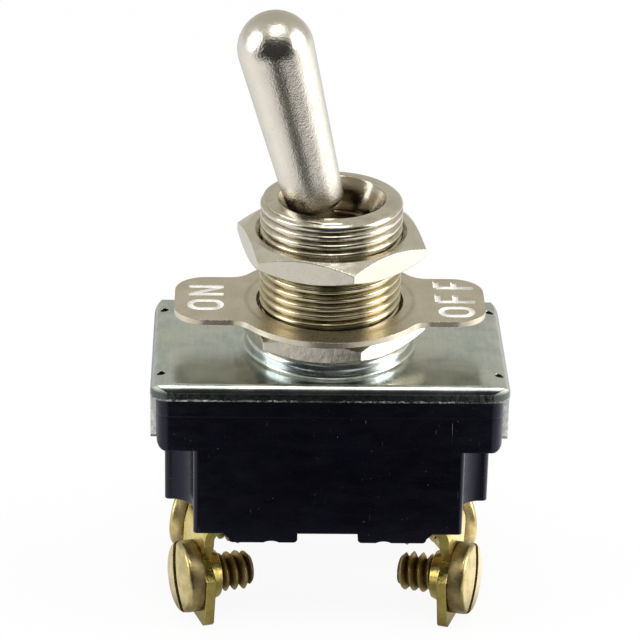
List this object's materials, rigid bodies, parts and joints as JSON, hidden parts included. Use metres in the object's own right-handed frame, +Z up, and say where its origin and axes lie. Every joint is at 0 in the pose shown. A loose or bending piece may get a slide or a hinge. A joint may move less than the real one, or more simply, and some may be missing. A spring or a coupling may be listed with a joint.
{
  "type": "panel toggle switch",
  "caption": "Two-pole on-off toggle switch with a bat lever, a threaded bushing for panel mounting, hex nuts, an on-off plate and screw terminals.",
  "frame": {"origin": "where the bushing's axis meets the top face of the steel frame", "axes": "+Z up along the bushing's axis, +X along the base towards the OFF end of the plate, -Y towards the near long side; the lever swings in the XZ plane"},
  "size_m": [0.0298, 0.0174, 0.0528],
  "materials": {
    "phenolic": "moulded black phenolic with a slight gloss",
    "zinc_steel": "zinc-plated steel sheet",
    "fibre": "vulcanised fibre sheet",
    "nickel_brass": "nickel-plated brass, machined",
    "nickel_lever": "bright nickel-plated brass",
    "slider_resin": "moulded laminate resin",
    "contact_alloy": "copper alloy strip and rivets",
    "terminal_brass": "bright stamped brass",
    "screw_brass": "turned brass",
    "nickel_nut": "nickel-plated, tumbled",
    "nickel_plate": "nickel-plated sheet with stamped words"
  },
  "bodies": {
    "housing": {"base": "phenolic", "frame_cover": "zinc_steel", "liner": "fibre", "bushing": "nickel_brass", "ball_keeper": "nickel_brass", "backing_nut": "nickel_nut", "on_off_plate": "nickel_plate", "face_nut": "nickel_nut", "contact_front_left": "contact_alloy", "contact_front_right": "contact_alloy", "contact_rear_left": "contact_alloy", "contact_rear_right": "contact_alloy", "terminal_front_left": "terminal_brass", "terminal_front_right": "terminal_brass", "terminal_rear_left": "terminal_brass", "terminal_rear_right": "terminal_brass", "screw_front_left": "screw_brass", "screw_front_right": "screw_brass", "screw_rear_left": "screw_brass", "screw_rear_right": "screw_brass"},
    "lever": {"lever": "nickel_lever"},
    "slider": {"slider": "slider_resin", "bridge_front": "contact_alloy", "bridge_rear": "contact_alloy"}
  },
  "joints": [
    {"name": "lever_swing", "type": "hinge", "parent": "housing", "child": "lever", "pos_m": [0, 0, 0.0075], "axis": [0, 1, 0], "range_deg": [0, 28.6]},
    {"name": "slider_travel", "type": "slide", "parent": "housing", "child": "slider", "axis": [1, 0, 0], "range_m": [-0.00541, 0]}
  ],
  "couplings": [
    {"joint": "slider_travel", "follows": "lever_swing", "m_per_rad": -0.010787}
  ]
}
